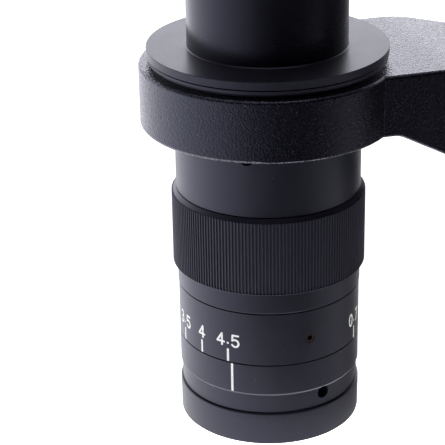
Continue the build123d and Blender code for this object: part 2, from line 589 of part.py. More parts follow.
RACK_HEAD_R = 2.2
RACK_HEAD_X = 73.6
RACK_ROOT_X = RACK_PITCH_X - DEDENDUM
RACK_TIP_X = RACK_PITCH_X + ADDENDUM
TOOTH_PITCH = pi * GEAR_MODULE
PRESSURE_TAN = tan(radians(20))
LOWEST_TOOTH = -6.5           # tooth centres counted in pitches from the pinion's height
RACK_TEETH = 13
with BuildPart() as rack:
    with BuildSketch(Plane.XZ):
        Polygon((CHANNEL_FLOOR_X, RACK_BOTTOM), (RACK_ROOT_X, RACK_BOTTOM),
                (RACK_ROOT_X, RACK_TOP), (CHANNEL_FLOOR_X, RACK_TOP), align=None)
        half = TOOTH_PITCH / 4 - BACKLASH
        root_half = half + DEDENDUM * PRESSURE_TAN
        tip_half = half - ADDENDUM * PRESSURE_TAN
        for tooth in range(RACK_TEETH):
            with Locations((0, FOCUS_Z + (LOWEST_TOOTH + tooth) * TOOTH_PITCH)):
                Polygon((RACK_ROOT_X, -root_half), (RACK_TIP_X, -tip_half),
                        (RACK_TIP_X, tip_half), (RACK_ROOT_X, root_half), align=None)
    extrude(amount=RACK_HALF_WIDTH, both=True)
    for height in RACK_SCREW_HEIGHTS:
        with Locations((CHANNEL_FLOOR_X, 0, height)):
            Cylinder(RACK_SCREW_R, 12, rotation=(0, 90, 0), mode=Mode.SUBTRACT)
        with Locations((RACK_HEAD_X + 1.5, 0, height)):
            Cylinder(RACK_HEAD_R, 3, rotation=(0, 90, 0), mode=Mode.SUBTRACT)
save(rack.part, "focus_rack")

with BuildPart() as rack_screws:
    for height in RACK_SCREW_HEIGHTS:
        with Locations((RACK_HEAD_X - 3.5, 0, height)):
            Cylinder(RACK_SCREW_R, 7, rotation=(0, 90, 0))
        with Locations((RACK_HEAD_X + 0.8, 0, height)):
            Cylinder(RACK_HEAD_R - PRESS_GAP, 1.6, rotation=(0, 90, 0))
save(rack_screws.part, "rack_screws")

GIB_FRONT_X = 70.6
GIB_BACK_X = 77.6
GIB_LENGTH = 44.0
with BuildPart() as gib_strip:
    with BuildSketch(Plane.XY.offset(CARRIAGE_BOTTOM + 2)):
        gib_outer = RAIL_GAP + GIB_THICKNESS
        Polygon(
            (GIB_FRONT_X, -rail_half(GIB_FRONT_X, RAIL_GAP)),
            (GIB_BACK_X, -rail_half(GIB_BACK_X, RAIL_GAP)),
            (GIB_BACK_X, -rail_half(GIB_BACK_X, gib_outer)),
            (GIB_FRONT_X, -rail_half(GIB_FRONT_X, gib_outer)), align=None)
    extrude(amount=GIB_LENGTH)
save(gib_strip.part, "gib_strip")

GIB_SCREW_Y = 0.3 - ARM_HALF_WIDTH
GIB_SCREW_LENGTH = 7.4
GIB_POINT_R = 0.9
GIB_POINT_LENGTH = 1.0
gib_screw = set_screw(GIB_SCREW_R, GIB_SCREW_LENGTH, 2.0)
with BuildPart() as gib_screws:
    for height in GIB_SCREW_HEIGHTS:
        with Locations(Location((GIB_SCREW_X, GIB_SCREW_Y, height), (0, 0, -90))):
            add(gib_screw)
        with Locations((GIB_SCREW_X, GIB_SCREW_Y + GIB_SCREW_LENGTH + 0.4, height)):
            Cylinder(GIB_POINT_R, GIB_POINT_LENGTH, rotation=(90, 0, 0))
save(gib_screws.part, "gib_screws")

# ================================================================ lens clamp screw
CLAMP_STUD_END = CLAMP_HEAD_END - 3.0
CLAMP_STUD_LENGTH = CLAMP_STUD_END - RING_BORE_R - 0.3
with BuildPart() as clamp_stud:
    with Locations((0, (RING_BORE_R + CLAMP_STUD_END) / 2, CLAMP_Z)):
        Cylinder(CLAMP_STUD_R, CLAMP_STUD_LENGTH, rotation=(90, 0, 0))
    chamfer(clamp_stud.edges().filter_by(GeomType.CIRCLE), 0.4)
save(clamp_stud.part, "lens_clamp_stud")

CLAMP_FLUTES = 36
CLAMP_HUB_R = 5.5
CLAMP_HUB_START = CLAMP_HEAD_START - 2.0
with BuildPart() as clamp_head:
    with BuildSketch(Plane.XY.offset(CLAMP_Z)):
        Polygon(
            (CLAMP_STUD_R, CLAMP_HUB_START), (CLAMP_HUB_R, CLAMP_HUB_START),
            (CLAMP_HUB_R, CLAMP_HEAD_START), (CLAMP_HEAD_R - 0.8, CLAMP_HEAD_START),
            (CLAMP_HEAD_R, CLAMP_HEAD_START + 0.8), (CLAMP_HEAD_R, CLAMP_HEAD_END - 1),
            (CLAMP_HEAD_R - 1, CLAMP_HEAD_END), (0, CLAMP_HEAD_END), (0, CLAMP_STUD_END),
            (CLAMP_STUD_R, CLAMP_STUD_END), align=None)
    revolve(axis=Axis((0, 0, CLAMP_Z), (0, 1, 0)))
    rim = Plane(origin=(0, CLAMP_HEAD_START, CLAMP_Z), x_dir=(1, 0, 0), z_dir=(0, 1, 0))
    with BuildSketch(rim):
        with PolarLocations(CLAMP_HEAD_R + 0.25, CLAMP_FLUTES):
            Circle(0.55)
    extrude(amount=CLAMP_HEAD_END - CLAMP_HEAD_START, mode=Mode.SUBTRACT)
save(clamp_head.part, "lens_clamp_head")

# =================================================================== focus block
POCKET_R = 10.7
POCKET_HALF_WIDTH = 4.6
BUSH_INNER_Y = 14.0
STUD_HOLE_LENGTH = 14.0
PAD_INNER_X = PILLAR_X + PILLAR_BORE_R + 0.1
PAD_OUTER_X = PAD_INNER_X + 1.3
with BuildPart() as focus_block:
    with BuildSketch(Plane.XY.offset(BLOCK_BOTTOM)):
        with Locations(((RAIL_ROOT_X + PILLAR_X) / 2, 0)):
            Rectangle(PILLAR_X - RAIL_ROOT_X, 2 * BLOCK_HALF_WIDTH)
        with Locations((PILLAR_X, 0)):
            Circle(BLOCK_HALF_WIDTH)
    extrude(amount=BLOCK_TOP - BLOCK_BOTTOM)
    fillet(focus_block.edges().group_by(Axis.Z)[-1] + focus_block.edges().group_by(Axis.Z)[0], 1.5)
    with BuildSketch(Plane.XY.offset(BLOCK_BOTTOM)):
        for side in (-1, 1):
            Polygon(
                (RAIL_TIP_X, side * RAIL_GROOVE_HALF), (RAIL_TIP_X, side * rail_half(RAIL_TIP_X)),
                (RAIL_ROOT_X, side * RAIL_ROOT_HALF), (RAIL_ROOT_X + 3, side * RAIL_ROOT_HALF),
                (RAIL_ROOT_X + 3, side * RAIL_GROOVE_HALF), align=None)
    extrude(amount=BLOCK_TOP - BLOCK_BOTTOM)
    with Locations((PILLAR_X, 0, (BLOCK_BOTTOM + BLOCK_TOP) / 2)):
        Cylinder(PILLAR_BORE_R, BLOCK_TOP - BLOCK_BOTTOM + 2, mode=Mode.SUBTRACT)
    with Locations((PINION_X, 0, FOCUS_Z)):
        Cylinder(SHAFT_R + 0.6, 2 * BLOCK_HALF_WIDTH + 2, rotation=(90, 0, 0), mode=Mode.SUBTRACT)
        Cylinder(POCKET_R, 2 * POCKET_HALF_WIDTH, rotation=(90, 0, 0), mode=Mode.SUBTRACT)
    with Locations(((RAIL_ROOT_X + PINION_X) / 2 - 1, 0, FOCUS_Z)):
        Box(PINION_X - RAIL_ROOT_X + 2, 2 * POCKET_HALF_WIDTH, 2 * POCKET_R, mode=Mode.SUBTRACT)
    for side in (-1, 1):
        with Locations((PINION_X, side * (BUSH_INNER_Y + 6), FOCUS_Z)):
            Cylinder(BUSH_R, 12, rotation=(90, 0, 0), mode=Mode.SUBTRACT)
    with Locations((PAD_INNER_X - 0.5 + STUD_HOLE_LENGTH / 2, 0, FOCUS_Z)):
        Cylinder(PILLAR_STUD_R + RUNNING_GAP, STUD_HOLE_LENGTH, rotation=(0, 90, 0), mode=Mode.SUBTRACT)
save(focus_block.part, "focus_block")

with BuildPart() as pillar_pad:
    with Locations(((PAD_INNER_X + PAD_OUTER_X) / 2, 0, FOCUS_Z)):
        Cylinder(PILLAR_STUD_R, PAD_OUTER_X - PAD_INNER_X, rotation=(0, 90, 0))
save(pillar_pad.part, "pillar_pad")

# ================================================================ focus drive
SHAFT_AXIS = Axis((PINION_X, 0, FOCUS_Z), (0, 1, 0))
CAP_R = 11.5
CAP_FOOT_Y = KNOB_END - 0.78
BUSH_FLANGE_END = BLOCK_HALF_WIDTH + 1.1


def tooth_half_angle(radius):
    """Half the angle that an involute tooth spans at a radius, in radians."""
    base_r = PINION_PITCH_R * cos(radians(20))
    involute_pitch = PRESSURE_TAN - radians(20)
    at_pitch = (TOOTH_PITCH / 4 - BACKLASH) / PINION_PITCH_R
    if radius <= base_r:
        return at_pitch + involute_pitch
    slope = (radius ** 2 - base_r ** 2) ** 0.5 / base_r
    return at_pitch + involute_pitch - (slope - atan2(slope, 1))


PINION_ROOT_R = PINION_PITCH_R - DEDENDUM
PINION_TIP_R = PINION_PITCH_R + ADDENDUM
FLANK_RADII = (PINION_ROOT_R - 0.3, PINION_ROOT_R + 0.65, PINION_PITCH_R, PINION_TIP_R)
SHAFT_HALF_LENGTH = 43.0
with BuildPart() as pinion_shaft:
    with Locations((PINION_X, 0, FOCUS_Z)):
        Cylinder(SHAFT_R, 2 * SHAFT_HALF_LENGTH, rotation=(90, 0, 0))
        Cylinder(PINION_ROOT_R, 2 * PINION_HALF_WIDTH, rotation=(90, 0, 0))
    flank = [(r, tooth_half_angle(r)) for r in FLANK_RADII]
    outline = [(r * cos(a), -r * sin(a)) for r, a in flank]
    outline += [(r * cos(a), r * sin(a)) for r, a in reversed(flank)]
    with BuildSketch(Plane.XZ):
        with Locations((PINION_X, FOCUS_Z)), PolarLocations(0, PINION_TEETH):
            Polygon(*outline, align=None)
    extrude(amount=PINION_HALF_WIDTH, both=True)
save(pinion_shaft.part, "pinion_shaft")

for side, name in ((1, "left"), (-1, "right")):
    with BuildPart() as bush:
        with BuildSketch(Plane.XY.offset(FOCUS_Z)):
            Polygon(*[(PINION_X + r, side * y) for r, y in (
                (SHAFT_R + RUNNING_GAP, BUSH_INNER_Y), (BUSH_R, BUSH_INNER_Y),
                (BUSH_R, BLOCK_HALF_WIDTH + PRESS_GAP), (BUSH_FLANGE_R, BLOCK_HALF_WIDTH + PRESS_GAP),
                (BUSH_FLANGE_R, BUSH_FLANGE_END), (SHAFT_R + RUNNING_GAP, BUSH_FLANGE_END))],
                align=None)
        revolve(axis=SHAFT_AXIS)
    save(bush.part, f"shaft_bush_{name}")

    with BuildPart() as knob:
        with BuildSketch(Plane.XY.offset(FOCUS_Z)):
            Polygon(*[(PINION_X + r, side * y) for r, y in (
                (KNOB_BORE_R, KNOB_START), (KNOB_R - 3.5, KNOB_START), (KNOB_R - 2.5, KNOB_START + 0.8),
                (KNOB_R - 2.5, KNOB_START + 2.5), (KNOB_R - 0.5, KNOB_START + 3),
                (KNOB_R, KNOB_START + 3.5), (KNOB_R, KNOB_END - 2), (KNOB_R - 1, KNOB_END - 0.6),
                (KNOB_R - 3, KNOB_END), (CAP_R + 0.7, KNOB_END), (CAP_R + 0.1, KNOB_END - 0.8),
                (KNOB_BORE_R, KNOB_END - 0.8))], align=None)
        revolve(axis=SHAFT_AXIS)
        grip_start = KNOB_START + 4.5
        rim = Plane(origin=(PINION_X, side * grip_start, FOCUS_Z), x_dir=(1, 0, 0),
                    z_dir=(0, side, 0))
        with BuildSketch(rim):
            with PolarLocations(KNOB_R + 0.3, KNOB_FLUTES):
                Circle(0.75)
        extrude(amount=KNOB_END - 3 - grip_start, mode=Mode.SUBTRACT)
    save(knob.part, f"focus_knob_{name}")

    with BuildPart() as cap:
        with BuildSketch(Plane.XY.offset(FOCUS_Z)):
            Polygon(*[(PINION_X + r, side * y) for r, y in (
                (0, CAP_FOOT_Y), (CAP_R, CAP_FOOT_Y), (CAP_R, KNOB_END + 0.2),
                (CAP_R - 0.5, KNOB_END + 0.6), (0, KNOB_END + 0.9))], align=None)
        revolve(axis=SHAFT_AXIS)
    save(cap.part, f"knob_cap_{name}")

WASHER_R = 8.2
with BuildPart() as friction_washers:
    for side in (-1, 1):
        with Locations((PINION_X, side * (BLOCK_HALF_WIDTH + 1.7), FOCUS_Z)):
            Cylinder(WASHER_R, 1.0, rotation=(90, 0, 0))
            Cylinder(SHAFT_R + RUNNING_GAP, 1.2, rotation=(90, 0, 0), mode=Mode.SUBTRACT)
save(friction_washers.part, "friction_washers")

# ================================================================ pillar clamp
STUD_END_X = PILLAR_KNOB_END - 4
with BuildPart() as pillar_stud:
    with Locations(((PAD_OUTER_X + 0.1 + STUD_END_X) / 2, 0, FOCUS_Z)):
        Cylinder(PILLAR_STUD_R, STUD_END_X - PAD_OUTER_X - 0.1, rotation=(0, 90, 0))
save(pillar_stud.part, "pillar_clamp_stud")

LOBES = 6
LOBE_R = 4.6
PILLAR_HUB_R = 7.5
PILLAR_HUB_LENGTH = 3.0
with BuildPart() as pillar_knob:
    with BuildSketch(Plane.YZ.offset(PILLAR_KNOB_START)):
        with Locations((0, FOCUS_Z)):
            Circle(PILLAR_KNOB_R - 2.4)
            with PolarLocations(PILLAR_KNOB_R - LOBE_R, LOBES):
                Circle(LOBE_R)
    extrude(amount=PILLAR_KNOB_END - PILLAR_KNOB_START)
    fillet(pillar_knob.edges().group_by(Axis.X)[-1], 1.5)
    fillet(pillar_knob.edges().group_by(Axis.X)[0], 0.8)
    with BuildSketch(Plane.YZ.offset(PILLAR_KNOB_START)):
        with Locations((0, FOCUS_Z)):
            Circle(PILLAR_HUB_R)
    extrude(amount=-PILLAR_HUB_LENGTH)
    hub_start = PILLAR_KNOB_START - PILLAR_HUB_LENGTH
    with Locations(((hub_start + STUD_END_X) / 2, 0, FOCUS_Z)):
        Cylinder(PILLAR_STUD_R, STUD_END_X - hub_start, rotation=(0, 90, 0), mode=Mode.SUBTRACT)
save(pillar_knob.part, "pillar_clamp_knob")
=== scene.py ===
"""The looks of a zoom inspection lens on its focusing ring arm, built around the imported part.

Metres, in the part's own frame: the lens axis is Z, z = 0 is the nose's front rim, the arm runs along +X.
Profiles are written in millimetres as (radius, height, edge radius) and scaled by MM.
"""
import json
from math import acos, atan2, ceil, cos, pi, radians, sin, tan

import bmesh
import bpy
from mathutils import Matrix, Vector

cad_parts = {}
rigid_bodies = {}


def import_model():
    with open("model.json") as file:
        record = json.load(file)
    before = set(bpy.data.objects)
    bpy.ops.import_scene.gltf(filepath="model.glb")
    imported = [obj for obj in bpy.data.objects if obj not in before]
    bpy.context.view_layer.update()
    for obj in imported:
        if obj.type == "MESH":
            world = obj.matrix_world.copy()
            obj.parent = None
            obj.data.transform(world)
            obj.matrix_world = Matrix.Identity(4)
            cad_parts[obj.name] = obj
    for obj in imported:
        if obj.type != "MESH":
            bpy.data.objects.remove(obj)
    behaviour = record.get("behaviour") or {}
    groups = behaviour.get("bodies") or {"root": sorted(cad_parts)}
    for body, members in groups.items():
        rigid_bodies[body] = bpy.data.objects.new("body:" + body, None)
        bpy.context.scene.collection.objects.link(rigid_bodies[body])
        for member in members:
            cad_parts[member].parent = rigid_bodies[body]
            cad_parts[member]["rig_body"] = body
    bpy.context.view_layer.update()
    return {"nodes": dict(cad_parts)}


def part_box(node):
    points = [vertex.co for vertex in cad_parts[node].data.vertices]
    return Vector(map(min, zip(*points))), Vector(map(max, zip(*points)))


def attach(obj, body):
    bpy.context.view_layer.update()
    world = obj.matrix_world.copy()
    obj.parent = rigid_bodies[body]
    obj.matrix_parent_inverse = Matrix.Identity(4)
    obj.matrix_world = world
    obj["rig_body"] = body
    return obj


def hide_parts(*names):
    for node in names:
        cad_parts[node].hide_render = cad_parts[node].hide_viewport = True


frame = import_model()
NODES = frame["nodes"]
MM = 0.001

# ------------------------------------------------------------------ camera
CAMERA_TARGET = Vector((-0.01138, 0.00331, 0.05229))
CAMERA_BACK = Vector((-0.1163, -0.4001, 0.1840))
CAMERA_LENS = 143.1
CAMERA_SENSOR = 36.0
CAMERA_ROLL = radians(1.015)
CAMERA_BEARING = atan2(CAMERA_BACK.x, -CAMERA_BACK.y)

# ------------------------------------------------------------------- light
# Level of the light tent round the lens by bearing from the camera's side (degrees, + to its right),
# for what lies near the horizon and below it.
SIDE_LEVELS = ((-180, 1.40), (-170, 1.60), (-150, 2.10), (-130, 1.90), (-110, 1.90), (-90, 1.75),
               (-70, 1.35), (-50, 1.00), (-30, 0.55), (-10, 0.17), (10, 0.05), (30, 0.04), (50, 0.05),
               (70, 0.07), (90, 0.09), (110, 0.07), (130, 0.12), (150, 0.35), (170, 0.60), (180, 1.00))
# The same for what lies well above the horizon.
TOP_LEVELS = ((-180, 3.80), (-130, 2.40), (-90, 1.35), (-60, 0.55), (-30, 0.08), (0, 0.02), (30, 0.02),
              (60, 0.04), (90, 0.12), (130, 0.80), (155, 3.30), (180, 3.80))
LEVEL_MOST = 4.0                      # the ramps hold levels as shares of this one
TOP_START, TOP_FULL = -0.05, 0.12     # heights on the unit sphere where one set gives way to the other
# Share of the light left at each height above the horizon: the tent is open overhead.
OVERHEAD = ((0.22, 1.0), (0.40, 0.60), (0.56, 0.18), (0.74, 0.05))
ZENITH = ((0.84, 0.0), (0.93, 1.0))   # a soft box straight above, by height on the unit sphere
ZENITH_LEVEL = 0.9
BACKDROP_LEVEL = 1.06
FLOOR_DROP = 0.035            # the floor lies this far below the nose
FLOOR_SIZE = 3.0
TENT_TINT = (0.93, 0.935, 1.0)
# Luminous plates on the floor under the lens: middle, radius, level and height above the floor.
PLATES = (("plate", (-0.020, -0.004), 0.085, 1.35, 0.001),
          ("plate_core", (0.0, 0.0), 0.048, 3.2, 0.002))
PLATE_SIDES = 64
# White cards lie on the floor to the right, out to behind the lens: near and far edge, and level by
# bearing, as above.
CARDS = ((0.088, 0.292, ((40, 0.02), (52, 0.20), (70, 0.46), (92, 0.50), (112, 0.12), (130, 0.26),
                         (150, 0.85), (172, 1.10), (186, 1.10))),
         (0.292, 0.335, ((40, 0.02), (52, 0.30), (70, 1.00), (92, 1.60), (112, 1.40), (130, 1.20),
                         (150, 1.00), (172, 1.10), (186, 1.10))))
CARD_STEPS = 48
CARD_LIFT = 0.002             # the cards lie this far above the floor


def link(tree, value, socket):
    """Give a socket a constant or another node's output."""
    if isinstance(value, (int, float)):
        socket.default_value = value
    elif isinstance(value, tuple):
        socket.default_value = (*value, 1) if len(value) < len(socket.default_value) else value
    else:
        tree.links.new(value, socket)


def math_node(tree, operation, *values, clamp=False):
    node = tree.nodes.new("ShaderNodeMath")
    node.operation = operation
    node.use_clamp = clamp
    for socket, value in zip(node.inputs, values):
        link(tree, value, socket)
    return node.outputs[0]


def ramp(tree, fac, stops, interpolation="LINEAR"):
    """Colour ramp from (position, grey or colour) stops."""
    node = tree.nodes.new("ShaderNodeValToRGB")
    node.color_ramp.interpolation = interpolation
    elements = node.color_ramp.elements
    for index, (position, colour) in enumerate(stops):
        element = elements[index] if index < 2 else elements.new(1.0)
        element.position = position
        element.color = (*colour, 1) if isinstance(colour, tuple) else (colour, colour, colour, 1)
    tree.links.new(fac, node.inputs[0])
    return node.outputs[0]


def make_camera():
    data = bpy.data.cameras.new("camera")
    data.lens = CAMERA_LENS
    data.sensor_width = CAMERA_SENSOR
    data.clip_start = 0.01
    data.clip_end = 50.0
    camera = bpy.data.objects.new("camera", data)
    bpy.context.scene.collection.objects.link(camera)
    look = CAMERA_BACK.to_track_quat("Z", "Y").to_matrix().to_4x4()
    camera.matrix_world = (Matrix.Translation(CAMERA_TARGET + CAMERA_BACK) @ look
                           @ Matrix.Rotation(-CAMERA_ROLL, 4, "Z"))
    bpy.context.scene.camera = camera


def make_world():
    """A pale tent, dark towards the camera and brightest behind the lens, before a white backdrop."""
    world = bpy.data.worlds.new("studio")
    bpy.context.scene.world = world
    world.use_nodes = True
    tree = world.node_tree
    tree.nodes.clear()
    way = tree.nodes.new("ShaderNodeTexCoord").outputs["Generated"]
    split = tree.nodes.new("ShaderNodeSeparateXYZ")
    tree.links.new(way, split.inputs[0])
    x, y, z = split.outputs
    bearing = math_node(tree, "ARCTAN2", x, math_node(tree, "MULTIPLY", y, -1.0))
    turns = math_node(tree, "DIVIDE", math_node(tree, "SUBTRACT", bearing, CAMERA_BEARING), 2 * pi)
    share = math_node(tree, "FRACT", math_node(tree, "ADD", turns, 0.5))
    side, top = (ramp(tree, share, [(degrees / 360 + 0.5, level / LEVEL_MOST)
                                    for degrees, level in levels], "EASE")
                 for levels in (SIDE_LEVELS, TOP_LEVELS))
    rise = tree.nodes.new("ShaderNodeMapRange")
    rise.interpolation_type = "SMOOTHSTEP"
    for socket, value in (("Value", z), ("From Min", TOP_START), ("From Max", TOP_FULL)):
        link(tree, value, rise.inputs[socket])
    both = tree.nodes.new("ShaderNodeMix")
    both.data_type = "FLOAT"
    for socket, value in zip((0, 2, 3), (rise.outputs[0], side, top)):
        link(tree, value, both.inputs[socket])
    tent = tree.nodes.new("ShaderNodeBackground")
    lit = math_node(tree, "MULTIPLY", both.outputs[0], ramp(tree, z, OVERHEAD))
    box = math_node(tree, "MULTIPLY", ramp(tree, z, ZENITH), ZENITH_LEVEL)
    tree.links.new(math_node(tree, "ADD", math_node(tree, "MULTIPLY", lit, LEVEL_MOST), box),
                   tent.inputs["Strength"])
    backdrop = tree.nodes.new("ShaderNodeBackground")
    backdrop.inputs["Strength"].default_value = BACKDROP_LEVEL
    backdrop.inputs["Color"].default_value = (1, 1, 1, 1)
    link(tree, TENT_TINT, tent.inputs["Color"])
    mix = tree.nodes.new("ShaderNodeMixShader")
    tree.links.new(tree.nodes.new("ShaderNodeLightPath").outputs["Is Camera Ray"], mix.inputs[0])
    tree.links.new(tent.outputs[0], mix.inputs[1])
    tree.links.new(backdrop.outputs[0], mix.inputs[2])
    out = tree.nodes.new("ShaderNodeOutputWorld")
    tree.links.new(mix.outputs[0], out.inputs[0])


def make_floor():
    """A wide pale floor that stays white in the picture and leaves mirror images alone."""
    material, tree, shader = new_material("pale_floor", (0.93, 0.93, 0.93), 0.9)
    cloud = noise(tree, place_node(tree), 3.0, 3.0)
    link(tree, ramp(tree, cloud, ((0.3, (0.92, 0.92, 0.92)), (0.7, (0.94, 0.94, 0.94)))),
         shader.inputs["Base Color"])
    shader.inputs["Emission Color"].default_value = (1, 1, 1, 1)
    shader.inputs["Emission Strength"].default_value = 1.0
    half = FLOOR_SIZE / 2
    floor = finish_mesh("floor", [(-half, -half, -FLOOR_DROP), (half, -half, -FLOOR_DROP),
                                  (half, half, -FLOOR_DROP), (-half, half, -FLOOR_DROP)],
                        [(0, 1, 2, 3)])
    floor.data.materials.append(material)
    floor.visible_glossy = False


def make_plate(name, middle, reach, level, lift):
    """A round luminous plate on the floor."""
    glow, tree, shader = new_material(name, (0.9, 0.9, 0.9), 0.9)
    shader.inputs["Emission Color"].default_value = (1, 1, 1, 1)
    shader.inputs["Emission Strength"].default_value = level
    spots = [2 * pi * k / PLATE_SIDES for k in range(PLATE_SIDES)]
    edge = [(middle[0] + reach * cos(spot), middle[1] + reach * sin(spot), -FLOOR_DROP + lift)
            for spot in spots]
    plate = finish_mesh(name, edge, [tuple(range(PLATE_SIDES))])
    plate.data.materials.append(glow)


def make_card(near, far, levels):
    """A lit card on the floor to the right of the lens."""
    material, tree, shader = new_material("lit_card", (0.0, 0.0, 0.0), 1.0, level=0.0)
    split = tree.nodes.new("ShaderNodeSeparateXYZ")
    tree.links.new(place_node(tree), split.inputs[0])
    bearing = math_node(tree, "ARCTAN2", split.outputs[0],
                        math_node(tree, "MULTIPLY", split.outputs[1], -1.0))
    share = math_node(tree, "DIVIDE", bearing, 2 * pi)
    level = ramp(tree, share, [(degrees / 360, value / LEVEL_MOST) for degrees, value in levels])
    shader.inputs["Emission Color"].default_value = (1, 1, 1, 1)
    tree.links.new(math_node(tree, "MULTIPLY", level, LEVEL_MOST), shader.inputs["Emission Strength"])
    start, end = levels[0][0], levels[-1][0]
    spots = [radians(start + (end - start) * k / CARD_STEPS) for k in range(CARD_STEPS + 1)]
    vertices = [(reach * sin(spot), -reach * cos(spot), 0.0) for spot in spots
                for reach in (near, far)]
    card = finish_mesh("card", vertices, [(2 * k, 2 * k + 1, 2 * k + 3, 2 * k + 2)
                                          for k in range(CARD_STEPS)])
    card.data.materials.append(material)
    card.matrix_world = (Matrix.Translation((0, 0, -FLOOR_DROP + CARD_LIFT))
                         @ Matrix.Rotation(CAMERA_BEARING, 4, "Z"))
    card.visible_camera = False
    card.visible_diffuse = False


# --------------------------------------------------------------- materials
def new_material(name, colour, roughness, metallic=0.0, ior=1.5, tint=(1.0, 1.0, 1.0), level=0.5):
    """A Principled material with its constants on the shader's own sockets."""
    material = bpy.data.materials.new(name)
    material.use_nodes = True
    tree = material.node_tree
    shader = tree.nodes["Principled BSDF"]
    shader.inputs["Base Color"].default_value = (*colour, 1)
    shader.inputs["Roughness"].default_value = roughness
    shader.inputs["Metallic"].default_value = metallic
    shader.inputs["IOR"].default_value = ior
    shader.inputs["Specular Tint"].default_value = (*tint, 1)
    shader.inputs["Specular IOR Level"].default_value = level
    return material, tree, shader


def place_node(tree):
    return tree.nodes.new("ShaderNodeTexCoord").outputs["Object"]


def noise(tree, where, scale, detail=2.0, rough=0.5):
    node = tree.nodes.new("ShaderNodeTexNoise")
    tree.links.new(where, node.inputs["Vector"])
    node.inputs["Scale"].default_value = scale
    node.inputs["Detail"].default_value = detail
    node.inputs["Roughness"].default_value = rough
    return node.outputs["Fac"]


def cells(tree, where, scale, feature="F1", smooth=None):
    node = tree.nodes.new("ShaderNodeTexVoronoi")
    node.feature = feature
    tree.links.new(where, node.inputs["Vector"])
    node.inputs["Scale"].default_value = scale
    if smooth is not None:
        node.inputs["Smoothness"].default_value = smooth
    return node.outputs["Distance"]


def lathe_place(tree, axis, centre):
    """Coordinates that run along and across a turned surface: radius, height and a slow angle."""
    split = tree.nodes.new("ShaderNodeSeparateXYZ")
    tree.links.new(place_node(tree), split.inputs[0])
    across = [i for i in range(3) if i != axis]
    offsets = [math_node(tree, "SUBTRACT", split.outputs[i], centre[i]) for i in across]
    squares = [math_node(tree, "POWER", offset, 2.0) for offset in offsets]
    radius = math_node(tree, "SQRT", math_node(tree, "ADD", *squares))
    angle = math_node(tree, "ARCTAN2", offsets[1], offsets[0])
    join = tree.nodes.new("ShaderNodeCombineXYZ")
    tree.links.new(radius, join.inputs[0])
    tree.links.new(split.outputs[axis], join.inputs[1])
    tree.links.new(math_node(tree, "MULTIPLY", angle, 0.0004), join.inputs[2])
    return join.outputs[0]


def average(tree, first, second):
    return math_node(tree, "MULTIPLY", math_node(tree, "ADD", first, second), 0.5)


def mix_colours(tree, share, first, second):
    node = tree.nodes.new("ShaderNodeMix")
    node.data_type = "RGBA"
    for socket, value in zip((0, 6, 7), (share, first, second)):
        link(tree, value, node.inputs[socket])
    return node.outputs[2]


def shades(colour, dark, light):
    """Two shades of a colour, as shares of it."""
    return tuple(c * dark for c in colour), tuple(min(1.0, c * light) for c in colour)


def bump(tree, shader, height, distance, under=None):
    """Bump of a given depth in metres, on top of another one's normal if there is one."""
    node = tree.nodes.new("ShaderNodeBump")
    node.inputs["Strength"].default_value = 1.0
    node.inputs["Distance"].default_value = distance
    tree.links.new(height, node.inputs["Height"])
    if under is not None:
        tree.links.new(under, node.inputs["Normal"])
    tree.links.new(node.outputs[0], shader.inputs["Normal"])
    return node.outputs[0]


def turned_metal(name, colour, rough, metallic, grain=0.0, axis=2, centre=(0, 0, 0), lines=0.0010,
                 specks=0.0, **shine):
    """Turned and finished metal: fine tool lines round the axis, a blasted grain and small flaws."""
    material, tree, shader = new_material(name, colour, rough[0], metallic, **shine)
    along = lathe_place(tree, axis, centre)
    tool = noise(tree, along, 5200.0, 3.0, 0.65)
    patches = noise(tree, place_node(tree), 130.0, 3.0, 0.6)
    link(tree, ramp(tree, average(tree, tool, patches), ((0.3, rough[0]), (0.7, rough[1]))),
         shader.inputs["Roughness"])
    fine = noise(tree, place_node(tree), 4200.0, 2.0, 0.6)
    first = bump(tree, shader, tool, lines * MM)
    bump(tree, shader, fine, grain * MM, under=first)
    darker, lighter = shades(colour, 0.75, 1.35)
    tint = ramp(tree, average(tree, fine, patches), ((0.3, darker), (0.7, lighter)))
    if specks:
        dust = ramp(tree, cells(tree, place_node(tree), 300.0), ((0.020, 1.0), (0.045, 0.0)), "EASE")
        tint = mix_colours(tree, math_node(tree, "MULTIPLY", dust, specks), tint, DUST)
    link(tree, tint, shader.inputs["Base Color"])
    return material


def casting_paint():
    """Black semi-gloss paint with a pebbled surface, on a casting, with painted glints in its colour."""
    material, tree, shader = new_material("textured_paint", (0.0022, 0.0022, 0.0040), 0.24, **DARK_SHINE)
    where = place_node(tree)
    warp = tree.nodes.new("ShaderNodeVectorMath")
    warp.operation = "MULTIPLY_ADD"
    soft = tree.nodes.new("ShaderNodeTexNoise")
    tree.links.new(where, soft.inputs["Vector"])
    soft.inputs["Scale"].default_value = 1300.0
    tree.links.new(soft.outputs["Color"], warp.inputs[0])
    warp.inputs[1].default_value = (0.0004,) * 3
    tree.links.new(where, warp.inputs[2])
    pebbles = cells(tree, warp.outputs[0], 2300.0, "SMOOTH_F1", 0.5)
    waves = noise(tree, where, 1800.0, 3.0, 0.55)
    first = bump(tree, shader, waves, 0.10 * MM)
    bump(tree, shader, pebbles, 0.075 * MM, under=first)
    link(tree, ramp(tree, waves, ((0.35, 0.17), (0.7, 0.30))), shader.inputs["Roughness"])
    paint = ramp(tree, pebbles, ((0.0, (0.0036, 0.0036, 0.0062)), (0.6, (0.0013, 0.0013, 0.0026))))
    # Painted highlight: light flecks in the base colour stand in for the glints off the pebbled paint.
    glint_spots = ramp(tree, noise(tree, where, 3000.0, 2.0, 0.6), ((0.58, 0.0), (0.74, 1.0)))
    link(tree, mix_colours(tree, glint_spots, paint, PAINTED_GLINT), shader.inputs["Base Color"])
    return material


